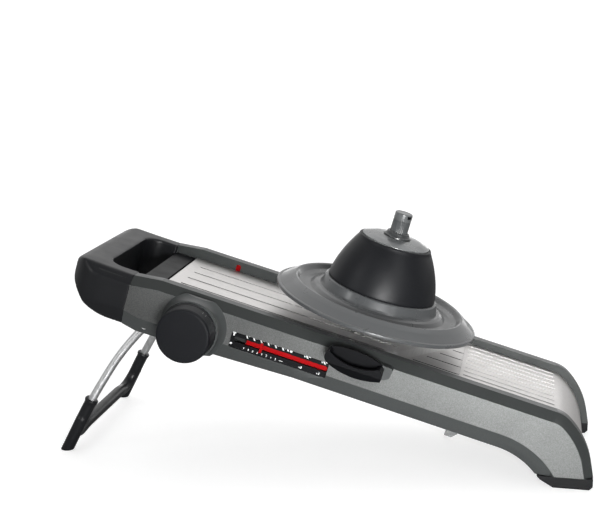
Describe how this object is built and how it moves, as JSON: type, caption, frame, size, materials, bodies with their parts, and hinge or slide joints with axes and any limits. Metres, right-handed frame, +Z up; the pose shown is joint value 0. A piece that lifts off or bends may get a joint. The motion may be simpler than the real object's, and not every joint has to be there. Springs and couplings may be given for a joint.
{
  "type": "mandoline slicer",
  "caption": "Sloping mandoline slicer: ribbed ramp and diagonal blade between two rails, thickness dial, fold-out leg and sliding spring guard.",
  "frame": {"origin": "centre of the whole box on the surface it stands on, with the leg open and the guard above the ramp", "axes": "+X along the slicer towards its front feet, +Y across it away from the dial, +Z up"},
  "size_m": [0.407, 0.1812, 0.1884],
  "materials": {
    "body_plastic": "fine speckled satin grey-green plastic",
    "black_grip": "soft matt black thermoplastic rubber",
    "black_plastic": "satin black plastic",
    "steel_plate": "satin rolled steel",
    "blade_steel": "ground steel",
    "rod_steel": "satin steel rod",
    "screw_steel": "bright zinc",
    "red_plastic": "satin red plastic",
    "inner_plastic": "satin dark grey acetal",
    "guard_plastic": "satin mid-grey plastic"
  },
  "bodies": {
    "frame": {"near_rail": "body_plastic", "far_rail": "body_plastic", "frame_screws": "screw_steel", "rear_bridge": "black_plastic", "handle_core": "inner_plastic", "handle_grip": "black_grip", "deck_frame": "inner_plastic", "front_crossbar": "body_plastic", "landing_plate": "steel_plate", "blade_insert": "steel_plate", "blade": "blade_steel", "comb_guides": "rod_steel", "scale_panel": "black_plastic", "dial_boss": "body_plastic", "near_foot": "black_grip", "far_foot": "black_grip", "leg_pins": "rod_steel"},
    "dial": {"dial_knob": "black_grip", "dial_washer": "screw_steel", "dial_shaft": "rod_steel", "near_pinion": "inner_plastic", "far_pinion": "inner_plastic"},
    "near_cam": {"near_cam_bar": "inner_plastic", "depth_pointer": "red_plastic"},
    "far_cam": {"far_cam_bar": "red_plastic"},
    "ramp": {"ramp_plate": "steel_plate", "ramp_carrier": "inner_plastic", "ramp_pins": "red_plastic"},
    "selector": {"selector_wing": "black_grip", "selector_hub": "body_plastic", "selector_pinion": "inner_plastic"},
    "selector_bar": {"selector_rack": "inner_plastic"},
    "comb_drive": {"comb_shaft": "rod_steel", "comb_pinion": "inner_plastic", "comb_cams": "inner_plastic"},
    "comb": {"comb_base": "inner_plastic", "comb_blades": "blade_steel"},
    "leg": {"leg_bail": "rod_steel", "leg_foot": "black_grip"},
    "plunger": {"plunger_stem": "guard_plastic", "stem_knob": "guard_plastic", "pusher_plate": "guard_plastic", "prongs": "rod_steel"},
    "guard": {"guard_shell": "guard_plastic", "crown_grip": "black_grip", "crown_cap": "guard_plastic", "stem_collar": "guard_plastic", "guard_spring": "screw_steel"}
  },
  "joints": [
    {"name": "ramp_lift", "type": "slide", "parent": "frame", "child": "ramp", "axis": [0.2684, 0, 0.9633], "range_m": [-0.00718, 0.00279]},
    {"name": "dial_turn", "type": "hinge", "parent": "frame", "child": "dial", "pos_m": [-0.09471, -0.07965, 0.10603], "axis": [0, 1, 0], "range_deg": [-76.2, 196.3]},
    {"name": "near_cam_slide", "type": "slide", "parent": "frame", "child": "near_cam", "axis": [0.9633, 0, -0.2684], "range_m": [-0.014, 0.036]},
    {"name": "far_cam_slide", "type": "slide", "parent": "frame", "child": "far_cam", "axis": [0.9633, 0, -0.2684], "range_m": [-0.014, 0.036]},
    {"name": "comb_lift", "type": "slide", "parent": "frame", "child": "comb", "axis": [0.2684, 0, 0.9633], "range_m": [0, 0.006]},
    {"name": "selector_turn", "type": "hinge", "parent": "frame", "child": "selector", "pos_m": [0.04722, -0.06565, 0.08081], "axis": [0, 1, 0], "range_deg": [-90, 0]},
    {"name": "selector_bar_slide", "type": "slide", "parent": "frame", "child": "selector_bar", "axis": [0.9633, 0, -0.2684], "range_m": [0, 0.0095]},
    {"name": "comb_drive_turn", "type": "hinge", "parent": "frame", "child": "comb_drive", "pos_m": [0.08403, 0.01035, 0.05269], "axis": [0, 1, 0], "range_deg": [0, 90.1]},
    {"name": "leg_fold", "type": "hinge", "parent": "frame", "child": "leg", "pos_m": [-0.13417, 0.01035, 0.10228], "axis": [0, 1, 0], "range_deg": [-102, 0]},
    {"name": "guard_stroke", "type": "slide", "parent": "frame", "child": "plunger", "axis": [0.9633, 0, -0.2684], "range_m": [-0.075, 0.078]},
    {"name": "guard_press", "type": "slide", "parent": "plunger", "child": "guard", "axis": [0.2684, 0, 0.9633], "range_m": [-0.014, 0], "stiffness_N_per_m": 320, "springref_m": 0.012, "deforming": ["guard_spring"]}
  ],
  "couplings": [
    {"joint": "dial_turn", "follows": "ramp_lift", "rad_per_m": -476.19},
    {"joint": "near_cam_slide", "follows": "ramp_lift", "ratio": -5},
    {"joint": "far_cam_slide", "follows": "ramp_lift", "ratio": -5},
    {"joint": "selector_turn", "follows": "comb_lift", "rad_per_m": -261.78},
    {"joint": "selector_bar_slide", "follows": "comb_lift", "ratio": 1.5707},
    {"joint": "comb_drive_turn", "follows": "comb_lift", "rad_per_m": 261.78}
  ]
}
